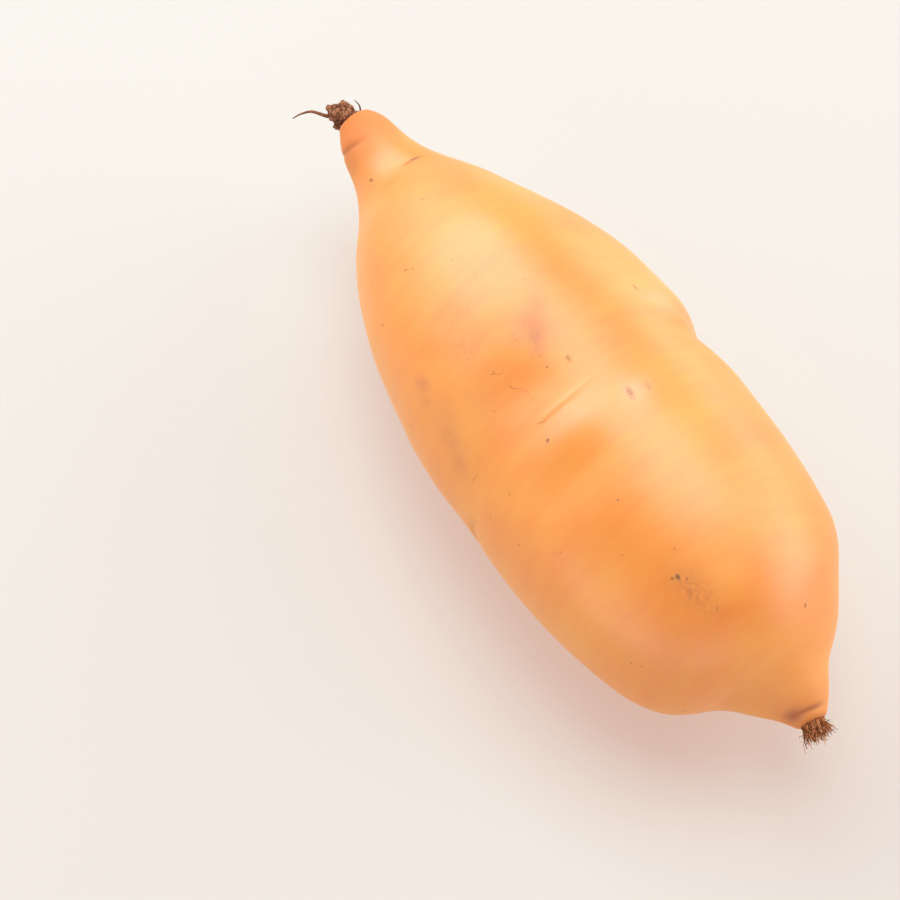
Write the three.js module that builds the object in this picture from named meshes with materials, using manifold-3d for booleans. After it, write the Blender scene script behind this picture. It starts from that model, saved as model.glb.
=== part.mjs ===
// A sweet potato lying on its belly: one storage root with a slim neck at each end, the corky stub
// of the vine on its stem end and the frayed feeding root on its tail end.
// Millimetres, +Z up, +X towards the tail. The origin is on the small flat of the belly that the
// root rests on, straight under its weight.
import * as THREE from "three";
import { mergeVertices } from "three/addons/utils/BufferGeometryUtils.js";
import Module from "manifold-3d";

const wasm = await Module();
wasm.setup();

// Stations of the root: place along it, offset of its spine across, height of its spine, and the
// half width and half height of the oval section there.
const STATIONS = [
  [-99, 0.4, 33.5, 3.1, 3.0],
  [-93, 1.0, 31.9, 6.7, 6.3],
  [-87, 1.6, 30.0, 8.6, 8.2],
  [-80, 2.1, 28.3, 11.8, 11.2],
  [-70, 2.2, 27.2, 18.1, 17.0],
  [-56, 1.2, 27.8, 24.4, 22.9],
  [-40, 0.5, 29.5, 29.8, 28.2],
  [-24, 0.6, 30.7, 33.2, 31.2],
  [-6, -0.2, 31.1, 34.3, 31.9],
  [14, -0.4, 31.0, 34.2, 31.8],
  [34, -0.4, 30.5, 33.4, 30.9],
  [50, 0.3, 28.9, 30.3, 28.3],
  [61, 1.6, 26.9, 24.9, 23.6],
  [68, 2.5, 25.3, 17.4, 16.8],
  [73, 2.7, 24.1, 11.4, 11.2],
  [78, 2.9, 22.9, 6.9, 6.8],
  [83, 2.4, 22.2, 3.0, 3.0],
];
const STEM_END = STATIONS[0][0];
const TAIL_END = STATIONS[STATIONS.length - 1][0];

// Swells and hollows of the skin. along: mm, round: degrees from the top towards -Y, rise: mm,
// reach: mm along the root, sweep: degrees round it.
const SWELLS = [
  { along: 4, round: 0, rise: -0.6, reach: 9, sweep: 720 },
  { along: 0.5, round: -66, rise: -1.2, reach: 5, sweep: 30 },
  { along: -9, round: -62, rise: 0.5, reach: 6, sweep: 22 },
  { along: 13, round: -66, rise: 0.5, reach: 6, sweep: 22 },
  { along: 13, round: 19, rise: 0.8, reach: 5, sweep: 20 },
  { along: -2, round: 30, rise: -1.0, reach: 6.5, sweep: 17 },
  { along: 21, round: 37, rise: -0.9, reach: 7, sweep: 15 },
  { along: 37, round: 46, rise: -0.5, reach: 10, sweep: 14 },
  { along: 73, round: 58, rise: -0.6, reach: 4.5, sweep: 22 },
  { along: -88, round: 75, rise: -0.3, reach: 4, sweep: 20 },
  { along: 53, round: -70, rise: 0.8, reach: 10, sweep: 26 },
  { along: -97, round: -80, rise: 1.3, reach: 5, sweep: 45 },
  { along: -30, round: -72, rise: -0.4, reach: 14, sweep: 24 },
  { along: -35, round: -138, rise: -0.9, reach: 14, sweep: 20 },
  { along: 48, round: -120, rise: -0.8, reach: 10, sweep: 20 },
  { along: -8, round: -115, rise: 0.6, reach: 12, sweep: 18 },
  { along: -58, round: 140, rise: 0.6, reach: 10, sweep: 20 },
  { along: -20, round: 128, rise: -0.5, reach: 11, sweep: 14 },
  { along: 58, round: 150, rise: -0.5, reach: 8, sweep: 18 },
];

// Folds and creases of the skin, each along its points [mm along, degrees round]. radius: the
// root's radius there, rise: mm, negative for a crease, width: mm. Each fades out over a share of
// its length at both ends.
const FOLD_TAPER = 0.4;
const FOLDS = [
  { radius: 33, rise: -0.05, width: 0.9, points: [[6.3, -8], [7.0, 8], [7.6, 20], [8.0, 38]] },
  { radius: 33, rise: 0.12, width: 0.6, points: [[4.6, -8], [5.7, 8], [6.3, 20], [6.3, 36]] },
  { radius: 33, rise: 0.5, width: 2.0, points: [[-9, -29], [-5, -37], [-2, -47], [0, -62]] },
  { radius: 33, rise: -0.4, width: 1.5, points: [[9, 78], [7.5, 92], [9.5, 112]] },
  { radius: 33, rise: -0.5, width: 1.6, points: [[2, -92], [4, -108], [3, -122]] },
  { radius: 31, rise: -0.35, width: 1.4, points: [[-31, -98], [-29, -112], [-31, -128]] },
  { radius: 7, rise: -0.3, width: 0.7, points: [[-93.4, 140], [-92.8, 100], [-92.4, 60], [-91.8, 32], [-91.2, 0]] },
  { radius: 12, rise: -0.2, width: 0.9, points: [[-79, 12], [-78.5, -4], [-78, -26]] },
  { radius: 7, rise: -0.3, width: 0.9, points: [[-92, -70], [-91, -118], [-92, -168]] },
  { radius: 4.5, rise: -0.4, width: 0.7, points: [[80.4, 110], [80.5, 65], [80.5, 28], [80.8, -14], [80.5, -80]] },
  { radius: 6, rise: -0.3, width: 0.9, points: [[78, -96], [77.5, -150], [78, -190]] },
];

// Low lobes that run along the root and twist round it, fading out before the necks. twist:
// degrees for each mm along, start: degrees round.
const LOBES = [
  { count: 3, rise: 0.35, twist: 0.5, start: 100 },
  { count: 5, rise: 0.18, twist: -0.9, start: 100 },
];
const LOBED_STRETCH = [-85, 72];
const LOBE_FADE = 25;

// Rows of the skin lie closer together where it folds.
const ROW_STEP = 2.7;
const FINE_STEP = 1.2;
const FINE_STRETCHES = [
  [STEM_END, -88],
  [-1, 12.5],
  [70, TAIL_END],
];
const POINTS_ROUND = 42;
const SPINE_STEP = 0.5;

// Stub of the vine: how far it stands off the root's end, its core, its corky lumps, the long
// rootlet that curls away from it and the short hair beside that.
const JOINT_GAP = 0.3;
const STUB = {
  length: 4.2,
  radius: 2.8,
  lean: [-1.2, -1.4, 0.4],
  foot: 0.86,
  belly: 0.5,
  narrowing: 0.3,
  roughness: 0.3,
  sides: 10,
  rows: 5,
  seed: 11,
};
// Lumps sit on the outer part of the stub, from one share of its length over a further one, and
// draw in towards its axis past the share where it closes.
const STUB_LUMPS = {
  count: 17,
  smallest: 0.8,
  largest: 1.4,
  from: 0.42,
  over: 0.5,
  stretch: 0.3,
  flatness: 0.8,
  flatnessSpread: 0.2,
  off: 0.98,
  closing: 0.7,
  drawIn: 0.55,
};
const ROOTLET = {
  points: [[-2.2, -2.4, 0.2], [-3.6, -4.4, 0.5], [-6.2, -6.8, 1.0], [-7.4, -9.2, 0.6], [-7.7, -11.3, 0.0]],
  base: 0.75,
  tip: 0.22,
  sides: 5,
  steps: 9,
};
const STUB_HAIR = {
  points: [[-0.6, 2.3, 0.3], [-1.4, 3.1, 1.6], [-2.6, 3.0, 2.5]],
  base: 0.5,
  tip: 0.2,
  sides: 4,
  steps: 4,
};

// Frayed root: a core that carries a brush of fibres, and one stray hair.
const TUFT = { length: 3.0, radius: 2.75, farRadius: 2.1, roughness: 0.12, sides: 12, rows: 3, seed: 5 };
// sink: mm that a fibre starts inside the core, fan: degrees, bow: mm off the straight line at its
// share of the length, curl: mm outwards at the tip.
const FIBRES = {
  count: 52,
  shortest: 3.2,
  longest: 4.4,
  base: 0.42,
  tip: 0.16,
  sink: 0.7,
  fan: 18,
  fanSpread: [0.6, 1.4],
  turnSpread: 0.4,
  bow: 0.7,
  bowAt: 0.55,
  curl: 0.3,
  sides: 3,
  steps: 3,
};
const STRAY_HAIR = {
  points: [[2.2, 1.6, 0.6], [4.0, 3.0, 0.9], [4.6, 4.6, 1.0]],
  base: 0.35,
  tip: 0.18,
  sides: 3,
  steps: 4,
};

// Turn from one repeat to the next that spreads them evenly round a piece.
const EVEN_TURN = Math.PI * (3 - Math.sqrt(5));
const WELD_DISTANCE = 1e-4;

const SKIN = { color: 0xf9a85b, roughness: 0.5, metalness: 0 };
const CORK = { color: 0x9a6040, roughness: 0.9, metalness: 0 };
const FIBRE = { color: 0x8a5030, roughness: 0.9, metalness: 0 };

// Natural cubic spline through one column of the stations.
function splineOf(column) {
  const x = STATIONS.map((row) => row[0]);
  const y = STATIONS.map((row) => row[column]);
  const last = x.length - 1;
  const bend = new Array(last + 1).fill(0);
  const carry = new Array(last + 1).fill(0);
  for (let i = 1; i < last; i++) {
    const before = x[i] - x[i - 1];
    const after = x[i + 1] - x[i];
    const share = before / (before + after);
    const pivot = share * bend[i - 1] + 2;
    const turn = (y[i + 1] - y[i]) / after - (y[i] - y[i - 1]) / before;
    bend[i] = (share - 1) / pivot;
    carry[i] = ((6 * turn) / (before + after) - share * carry[i - 1]) / pivot;
  }
  for (let i = last - 1; i >= 0; i--) bend[i] = bend[i] * bend[i + 1] + carry[i];
  return (at) => {
    let k = 0;
    while (k < last - 1 && at > x[k + 1]) k++;
    const span = x[k + 1] - x[k];
    const a = (x[k + 1] - at) / span;
    const b = 1 - a;
    const curved = (a ** 3 - a) * bend[k] + (b ** 3 - b) * bend[k + 1];
    return a * y[k] + b * y[k + 1] + (curved * span * span) / 6;
  };
}

const spineAcross = splineOf(1);
const spineHeight = splineOf(2);
const halfWidth = splineOf(3);
const halfHeight = splineOf(4);

// Centre of the section at a place along the root, and its own axes: ahead, side and up.
function sectionAt(along) {
  const centre = new THREE.Vector3(along, spineAcross(along), spineHeight(along));
  const ahead = new THREE.Vector3(
    2 * SPINE_STEP,
    spineAcross(along + SPINE_STEP) - spineAcross(along - SPINE_STEP),
    spineHeight(along + SPINE_STEP) - spineHeight(along - SPINE_STEP),
  ).normalize();
  const side = new THREE.Vector3(0, 0, 1).cross(ahead).normalize();
  const up = ahead.clone().cross(side);
  return { centre, ahead, side, up };
}

// Degrees from one angle to another, the short way round.
function turnBetween(from, to) {
  return THREE.MathUtils.euclideanModulo(to - from + 180, 360) - 180;
}

// How strongly a fold shows at a place, from 0 to 1, worked out on the unrolled skin.
function foldStrength(fold, along, round) {
  const perDegree = THREE.MathUtils.degToRad(fold.radius);
  const firstRound = fold.points[0][1];
  const here = new THREE.Vector2(along, turnBetween(firstRound, round) * perDegree);
  const line = fold.points.map(([u, angle]) => new THREE.Vector2(u, (angle - firstRound) * perDegree));
  let nearest = Infinity;
  let nearestAt = 0;
  let length = 0;
  for (let i = 0; i + 1 < line.length; i++) {
    const run = line[i + 1].clone().sub(line[i]);
    const share = THREE.MathUtils.clamp(here.clone().sub(line[i]).dot(run) / run.lengthSq(), 0, 1);
    const off = line[i].clone().addScaledVector(run, share).distanceTo(here);
    if (off < nearest) {
      nearest = off;
      nearestAt = length + share * run.length();
    }
    length += run.length();
  }
  const fromEnd = Math.min(nearestAt, length - nearestAt) / (FOLD_TAPER * length);
  return THREE.MathUtils.smoothstep(fromEnd, 0, 1) * Math.exp(-((nearest / fold.width) ** 2));
}

// How far the skin stands out from the plain oval section, in mm.
function relief(along, round) {
  let rise = 0;
  for (const swell of SWELLS) {
    const far = (along - swell.along) / swell.reach;
    const turned = turnBetween(swell.round, round) / swell.sweep;
    rise += swell.rise * Math.exp(-far * far - turned * turned);
  }
  for (const fold of FOLDS) rise += fold.rise * foldStrength(fold, along, round);
  const inside = Math.min(along - LOBED_STRETCH[0], LOBED_STRETCH[1] - along) / LOBE_FADE;
  const fade = THREE.MathUtils.smoothstep(inside, 0, 1);
  for (const lobe of LOBES) {
    const turned = THREE.MathUtils.degToRad(lobe.count * (round - lobe.start + lobe.twist * along));
    rise += fade * lobe.rise * Math.cos(turned);
  }
  return rise;
}

// A point of the skin. The belly is pressed flat where it would pass below the surface.
function skinPoint(along, round) {
  const { centre, side, up } = sectionAt(along);
  const angle = THREE.MathUtils.degToRad(round);
  const wide = halfWidth(along);
  const high = halfHeight(along);
  const outX = Math.sin(angle) / wide;
  const outZ = Math.cos(angle) / high;
  const stretch = relief(along, round) / Math.hypot(outX, outZ);
  const point = centre
    .addScaledVector(side, -(wide * Math.sin(angle) + outX * stretch))
    .addScaledVector(up, high * Math.cos(angle) + outZ * stretch);
  point.z = Math.max(point.z, 0);
  return point;
}

// Places of the rows along the root.
function rowPlaces() {
  const places = [];
  let along = STEM_END;
  while (along < TAIL_END) {
    places.push(along);
    const fine = FINE_STRETCHES.some(([from, to]) => along >= from && along < to);
    along += fine ? FINE_STEP : ROW_STEP;
  }
  if (TAIL_END - places[places.length - 1] < FINE_STEP / 2) places.pop();
  places.push(TAIL_END);
  return places;
}

// Closed geometry from rings of points, with a fan on each end. Rings run along the piece and the
// points of each turn the same way, so that every face points outwards.
function loft(rings) {
  const count = rings[0].length;
  const points = rings.flat();
  const faces = [];
  for (let r = 0; r + 1 < rings.length; r++)
    for (let i = 0; i < count; i++) {
      const a = r * count + i;
      const b = r * count + ((i + 1) % count);
      faces.push(a, b, a + count, b, b + count, a + count);
    }
  for (const [ring, closing] of [[0, false], [rings.length - 1, true]]) {
    const middle = new THREE.Vector3();
    rings[ring].forEach((point) => middle.add(point));
    points.push(middle.divideScalar(count));
    for (let i = 0; i < count; i++) {
      const a = ring * count + i;
      const b = ring * count + ((i + 1) % count);
      faces.push(points.length - 1, closing ? a : b, closing ? b : a);
    }
  }
  const geometry = new THREE.BufferGeometry().setFromPoints(points);
  geometry.setIndex(faces);
  return geometry;
}

// The skin of the root, from the stem end to the tail end.
function rootGeometry() {
  const rings = rowPlaces().map((along) => {
    const ring = [];
    for (let i = 0; i < POINTS_ROUND; i++) ring.push(skinPoint(along, (360 * i) / POINTS_ROUND));
    return ring;
  });
  return loft(rings);
}

// A closed fibre along a smooth curve, thinning from base to tip.
function fibreGeometry({ points, base, tip, sides, steps }) {
  const curve = new THREE.CatmullRomCurve3(points.map((p) => new THREE.Vector3(...p)));
  const frames = curve.computeFrenetFrames(steps);
  const rings = [];
  for (let s = 0; s <= steps; s++) {
    const centre = curve.getPointAt(s / steps);
    const radius = THREE.MathUtils.lerp(base, tip, s / steps);
    const ring = [];
    for (let i = 0; i < sides; i++) {
      const angle = (2 * Math.PI * i) / sides;
      ring.push(
        centre
          .clone()
          .addScaledVector(frames.normals[s], radius * Math.cos(angle))
          .addScaledVector(frames.binormals[s], radius * Math.sin(angle)),
      );
    }
    rings.push(ring);
  }
  return loft(rings);
}

// Numbers from 0 to 1 that come out the same each time for a seed.
function randomFrom(seed) {
  const multiplier = 48271;
  const modulus = 2 ** 31 - 1;
  let state = seed;
  return () => {
    state = (state * multiplier) % modulus;
    return state / modulus;
  };
}

// A geometry with position only and shared vertices, as a solid for joining.
function solidOf(geometry) {
  const bare = geometry.clone();
  bare.deleteAttribute("normal");
  bare.deleteAttribute("uv");
  const merged = mergeVertices(bare, WELD_DISTANCE);
  const solid = new wasm.Manifold(
    new wasm.Mesh({
      numProp: 3,
      vertProperties: new Float32Array(merged.attributes.position.array),
      triVerts: new Uint32Array(merged.index.array),
    }),
  );
  if (solid.volume() < 0) throw new Error("a piece is inside out");
  return solid;
}

// One geometry of all the given ones, joined.
function joined(geometries) {
  const mesh = geometries.map(solidOf).reduce((whole, next) => whole.add(next)).getMesh();
  const geometry = new THREE.BufferGeometry();
  geometry.setAttribute("position", new THREE.BufferAttribute(new Float32Array(mesh.vertProperties), 3));
  geometry.setIndex(new THREE.BufferAttribute(new Uint32Array(mesh.triVerts), 1));
  return geometry;
}

// Rings of a rough plug that starts at an end of the root and runs away from it.
function plugRings({ section, heading, length, radii, lean, sides, rows, roughness, random }) {
  const start = section.centre.clone().addScaledVector(section.ahead, heading * JOINT_GAP);
  const rings = [];
  for (let r = 0; r <= rows; r++) {
    const share = r / rows;
    const centre = start
      .clone()
      .addScaledVector(section.ahead, heading * length * share)
      .addScaledVector(lean, share);
    const ring = [];
    for (let i = 0; i < sides; i++) {
      const angle = (heading * 2 * Math.PI * i) / sides;
      const radius = radii(share) * (1 + (r === 0 ? 0 : roughness * (random() - 0.5)));
      ring.push(
        centre
          .clone()
          .addScaledVector(section.side, -radius * Math.sin(angle))
          .addScaledVector(section.up, radius * Math.cos(angle)),
      );
    }
    rings.push(ring);
  }
  return rings;
}

// The corky stub that the vine left on the root: core, lumps, rootlet and hair.
function stubGeometry() {
  const random = randomFrom(STUB.seed);
  const section = sectionAt(STEM_END);
  const lean = new THREE.Vector3(...STUB.lean);
  const rings = plugRings({
    section,
    heading: -1,
    length: STUB.length,
    radii: (share) =>
      STUB.radius * (STUB.foot + STUB.belly * Math.sin(Math.PI * share) - STUB.narrowing * share),
    lean,
    sides: STUB.sides,
    rows: STUB.rows,
    roughness: STUB.roughness,
    random,
  });
  const pieces = [loft(rings)];
  for (let i = 0; i < STUB_LUMPS.count; i++) {
    const share = STUB_LUMPS.from + STUB_LUMPS.over * random();
    const angle = EVEN_TURN * i + random();
    const size = THREE.MathUtils.lerp(STUB_LUMPS.smallest, STUB_LUMPS.largest, random());
    const closed = STUB_LUMPS.drawIn * Math.max(0, share - STUB_LUMPS.closing);
    const off = STUB.radius * (STUB_LUMPS.off - closed);
    const lump = new THREE.IcosahedronGeometry(size, 0);
    lump.scale(
      1 + STUB_LUMPS.stretch * random(),
      1 + STUB_LUMPS.stretch * random(),
      STUB_LUMPS.flatness + STUB_LUMPS.flatnessSpread * random(),
    );
    lump.rotateX(2 * Math.PI * random());
    lump.rotateZ(2 * Math.PI * random());
    const centre = section.centre
      .clone()
      .addScaledVector(section.ahead, -JOINT_GAP - STUB.length * share)
      .addScaledVector(lean, share)
      .addScaledVector(section.side, -off * Math.sin(angle))
      .addScaledVector(section.up, off * Math.cos(angle));
    lump.translate(centre.x, centre.y, centre.z);
    pieces.push(lump);
  }
  for (const strand of [ROOTLET, STUB_HAIR]) {
    const strandGeometry = fibreGeometry(strand);
    strandGeometry.translate(section.centre.x, section.centre.y, section.centre.z);
    pieces.push(strandGeometry);
  }
  return joined(pieces);
}

// The frayed feeding root: a core and the fibres that fan out of it.
function tuftGeometry() {
  const random = randomFrom(TUFT.seed);
  const section = sectionAt(TAIL_END);
  const rings = plugRings({
    section,
    heading: 1,
    length: TUFT.length,
    radii: (share) => THREE.MathUtils.lerp(TUFT.radius, TUFT.farRadius, share),
    lean: new THREE.Vector3(),
    sides: TUFT.sides,
    rows: TUFT.rows,
    roughness: TUFT.roughness,
    random,
  });
  const pieces = [loft(rings)];
  for (let i = 0; i < FIBRES.count; i++) {
    const share = Math.sqrt((i + 0.5) / FIBRES.count);
    const angle = EVEN_TURN * i + FIBRES.turnSpread * random();
    const out = section.side
      .clone()
      .multiplyScalar(-Math.sin(angle))
      .addScaledVector(section.up, Math.cos(angle));
    const root = section.centre
      .clone()
      .addScaledVector(section.ahead, JOINT_GAP + FIBRES.sink)
      .addScaledVector(out, share * (TUFT.radius - FIBRES.sink));
    const fanned = FIBRES.fan * THREE.MathUtils.lerp(...FIBRES.fanSpread, random());
    const tilt = THREE.MathUtils.degToRad(share * fanned);
    const length = THREE.MathUtils.lerp(FIBRES.shortest, FIBRES.longest, random()) - FIBRES.sink;
    const away = section.ahead.clone().multiplyScalar(Math.cos(tilt)).addScaledVector(out, Math.sin(tilt));
    const bow = new THREE.Vector3(random() - 0.5, random() - 0.5, random() - 0.5).multiplyScalar(FIBRES.bow);
    const middle = root.clone().addScaledVector(away, length * FIBRES.bowAt).add(bow);
    const tip = root.clone().addScaledVector(away, length).addScaledVector(out, FIBRES.curl * share);
    pieces.push(fibreGeometry({ ...FIBRES, points: [root, middle, tip].map((p) => p.toArray()) }));
  }
  const hair = fibreGeometry(STRAY_HAIR);
  hair.translate(section.centre.x, section.centre.y, section.centre.z);
  pieces.push(hair);
  return joined(pieces);
}

function meshOf(name, geometry, finish) {
  geometry.computeVertexNormals();
  const mesh = new THREE.Mesh(geometry, new THREE.MeshStandardMaterial(finish));
  mesh.name = name;
  return mesh;
}

const sweetPotato = new THREE.Group();
sweetPotato.name = "sweet_potato";
sweetPotato.add(meshOf("tuber", rootGeometry(), SKIN));
sweetPotato.add(meshOf("stem_stub", stubGeometry(), CORK));
sweetPotato.add(meshOf("root_tuft", tuftGeometry(), FIBRE));

export default sweetPotato;
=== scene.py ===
"""Looks of a sweet potato: its skin and marks, the corky stub of the vine and the frayed root."""
import logging
import math
from dataclasses import dataclass, replace
from enum import Enum
from typing import Any, Iterable, Sequence

import bpy
import numpy as np
from bpy.types import Material, Node, NodeSocket, NodeTree, Object
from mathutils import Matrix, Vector, noise


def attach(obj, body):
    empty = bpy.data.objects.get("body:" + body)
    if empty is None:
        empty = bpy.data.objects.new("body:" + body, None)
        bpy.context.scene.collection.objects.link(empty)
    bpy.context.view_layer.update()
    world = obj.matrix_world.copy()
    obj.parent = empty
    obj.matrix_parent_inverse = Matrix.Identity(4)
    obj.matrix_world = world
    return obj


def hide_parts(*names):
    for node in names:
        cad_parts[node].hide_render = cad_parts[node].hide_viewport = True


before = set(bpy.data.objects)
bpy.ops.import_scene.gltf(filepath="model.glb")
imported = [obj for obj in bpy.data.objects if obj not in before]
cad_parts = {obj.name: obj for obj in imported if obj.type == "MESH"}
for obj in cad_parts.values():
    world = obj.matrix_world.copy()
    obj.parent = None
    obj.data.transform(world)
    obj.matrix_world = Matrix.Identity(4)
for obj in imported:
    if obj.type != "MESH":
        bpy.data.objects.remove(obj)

Array = np.ndarray
Pair = tuple[float, float]
Triple = tuple[float, float, float]

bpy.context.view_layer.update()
BODY = "root"
MM = 0.001
LOG = logging.getLogger("sweet_potato")

# The colour sockets of a Mix node that mixes colours.
MIX_A, MIX_B, MIX_RESULT = 6, 7, 2
# How much each finer octave of a noise pattern adds to the one before.
NOISE_ROUGHNESS = 0.55
# The middle of a noise colour.
NOISE_MIDDLE = (0.5, 0.5, 0.5)
# Below 1, a strand thins faster near its base than near its tip.
THINNING = 0.8
# Turn from one fibre to the next that spreads them evenly round, in radians.
EVEN_TURN = 2.39996
# About a full turn, in radians.
FULL_TURN = 6.28


def linear(colour: str) -> tuple[float, float, float, float]:
    """Turns an sRGB hex colour into linear red, green, blue and alpha.

    Args:
        colour: six hex digits after a hash sign.

    Returns:
        Linear values from 0 to 1, with alpha 1.
    """
    parts = [int(colour[i:i + 2], 16) / 255 for i in (1, 3, 5)]
    red, green, blue = (c / 12.92 if c <= 0.04045 else ((c + 0.055) / 1.055) ** 2.4 for c in parts)
    return red, green, blue, 1.0


class Nodes:
    """A node tree that grows node by node."""

    def __init__(self, tree: NodeTree) -> None:
        """Takes the tree that gets the nodes."""
        self.tree = tree

    def fill(self, node: Node, values: dict, links: dict) -> None:
        """Sets and links inputs of a node.

        Args:
            node: the node.
            values: constants by input name or index.
            links: sources by input name or index; a node stands for its first output.
        """
        for key, value in values.items():
            node.inputs[key].default_value = value
        for key, source in links.items():
            from_node = isinstance(source, Node)
            self.tree.links.new(source.outputs[0] if from_node else source, node.inputs[key])

    def node(self, kind: str, values: dict | None = None, links: dict | None = None,
             **settings: Any) -> Node:
        """Adds one node.

        Args:
            kind: the node's type name.
            values: constants, as in fill.
            links: sources, as in fill.
            settings: the node's own properties.

        Returns:
            The new node.
        """
        made = self.tree.nodes.new(kind)
        for name, value in settings.items():
            setattr(made, name, value)
        self.fill(made, values or {}, links or {})
        return made


class Shader(Nodes):
    """The node tree of a new material, with the piece's own coordinates."""

    def __init__(self, name: str) -> None:
        """Starts the material.

        Args:
            name: the material's name.
        """
        self.material = bpy.data.materials.new(name)
        self.material.use_nodes = True
        super().__init__(self.material.node_tree)
        self.place = self.node("ShaderNodeTexCoord").outputs["Object"]

    def pattern(self, size_mm: Triple, detail: float) -> Node:
        """Adds a noise whose features have a real size.

        Args:
            size_mm: the size of one feature along each axis.
            detail: octaves of finer noise.

        Returns:
            The noise, about 0.5 on average.
        """
        pitch = tuple(1 / (size * MM) for size in size_mm)
        scaled = self.node("ShaderNodeVectorMath", {1: pitch}, {0: self.place}, operation="MULTIPLY")
        values = {"Scale": 1.0, "Detail": detail, "Roughness": NOISE_ROUGHNESS}
        return self.node("ShaderNodeTexNoise", values, {"Vector": scaled})

    def finish(self, values: dict[str, Any], links: dict) -> Material:
        """Sets the surface.

        Args:
            values: constants of the Principled shader.
            links: sources for its other inputs.

        Returns:
            The material.
        """
        self.fill(self.tree.nodes["Principled BSDF"], values, links)
        return self.material


def turn_between(start: Array | float, end: Array | float) -> Array | float:
    """Gives the degrees from one angle to another, the short way round.

    Args:
        start: angle in degrees.
        end: angle in degrees.

    Returns:
        The turn, from -180 up to 180.
    """
    return (end - start + 180) % 360 - 180


def smooth_step(share: Array) -> Array:
    """Eases a share from 0 to 1, flat at both ends."""
    held = np.clip(share, 0, 1)
    return held ** 2 * (3 - 2 * held)


@dataclass(frozen=True)
class Swell:
    """A soft rise or hollow of the skin. Sizes in mm and degrees."""

    along: float
    around: float
    rise: float
    reach: float
    sweep: float


@dataclass(frozen=True)
class Fold:
    """A ridge or groove along a line of (mm along, degrees round) points, with painted shade in a
    groove.
    """

    radius: float
    rise: float
    width: float
    points: tuple[Pair, ...]
    # how much painted shade darkens the skin along the fold
    shade: float = 0.0


@dataclass(frozen=True)
class Lobe:
    """Low lobes that run along the root and twist round it."""

    count: int
    rise: float
    twist: float
    start: float


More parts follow.
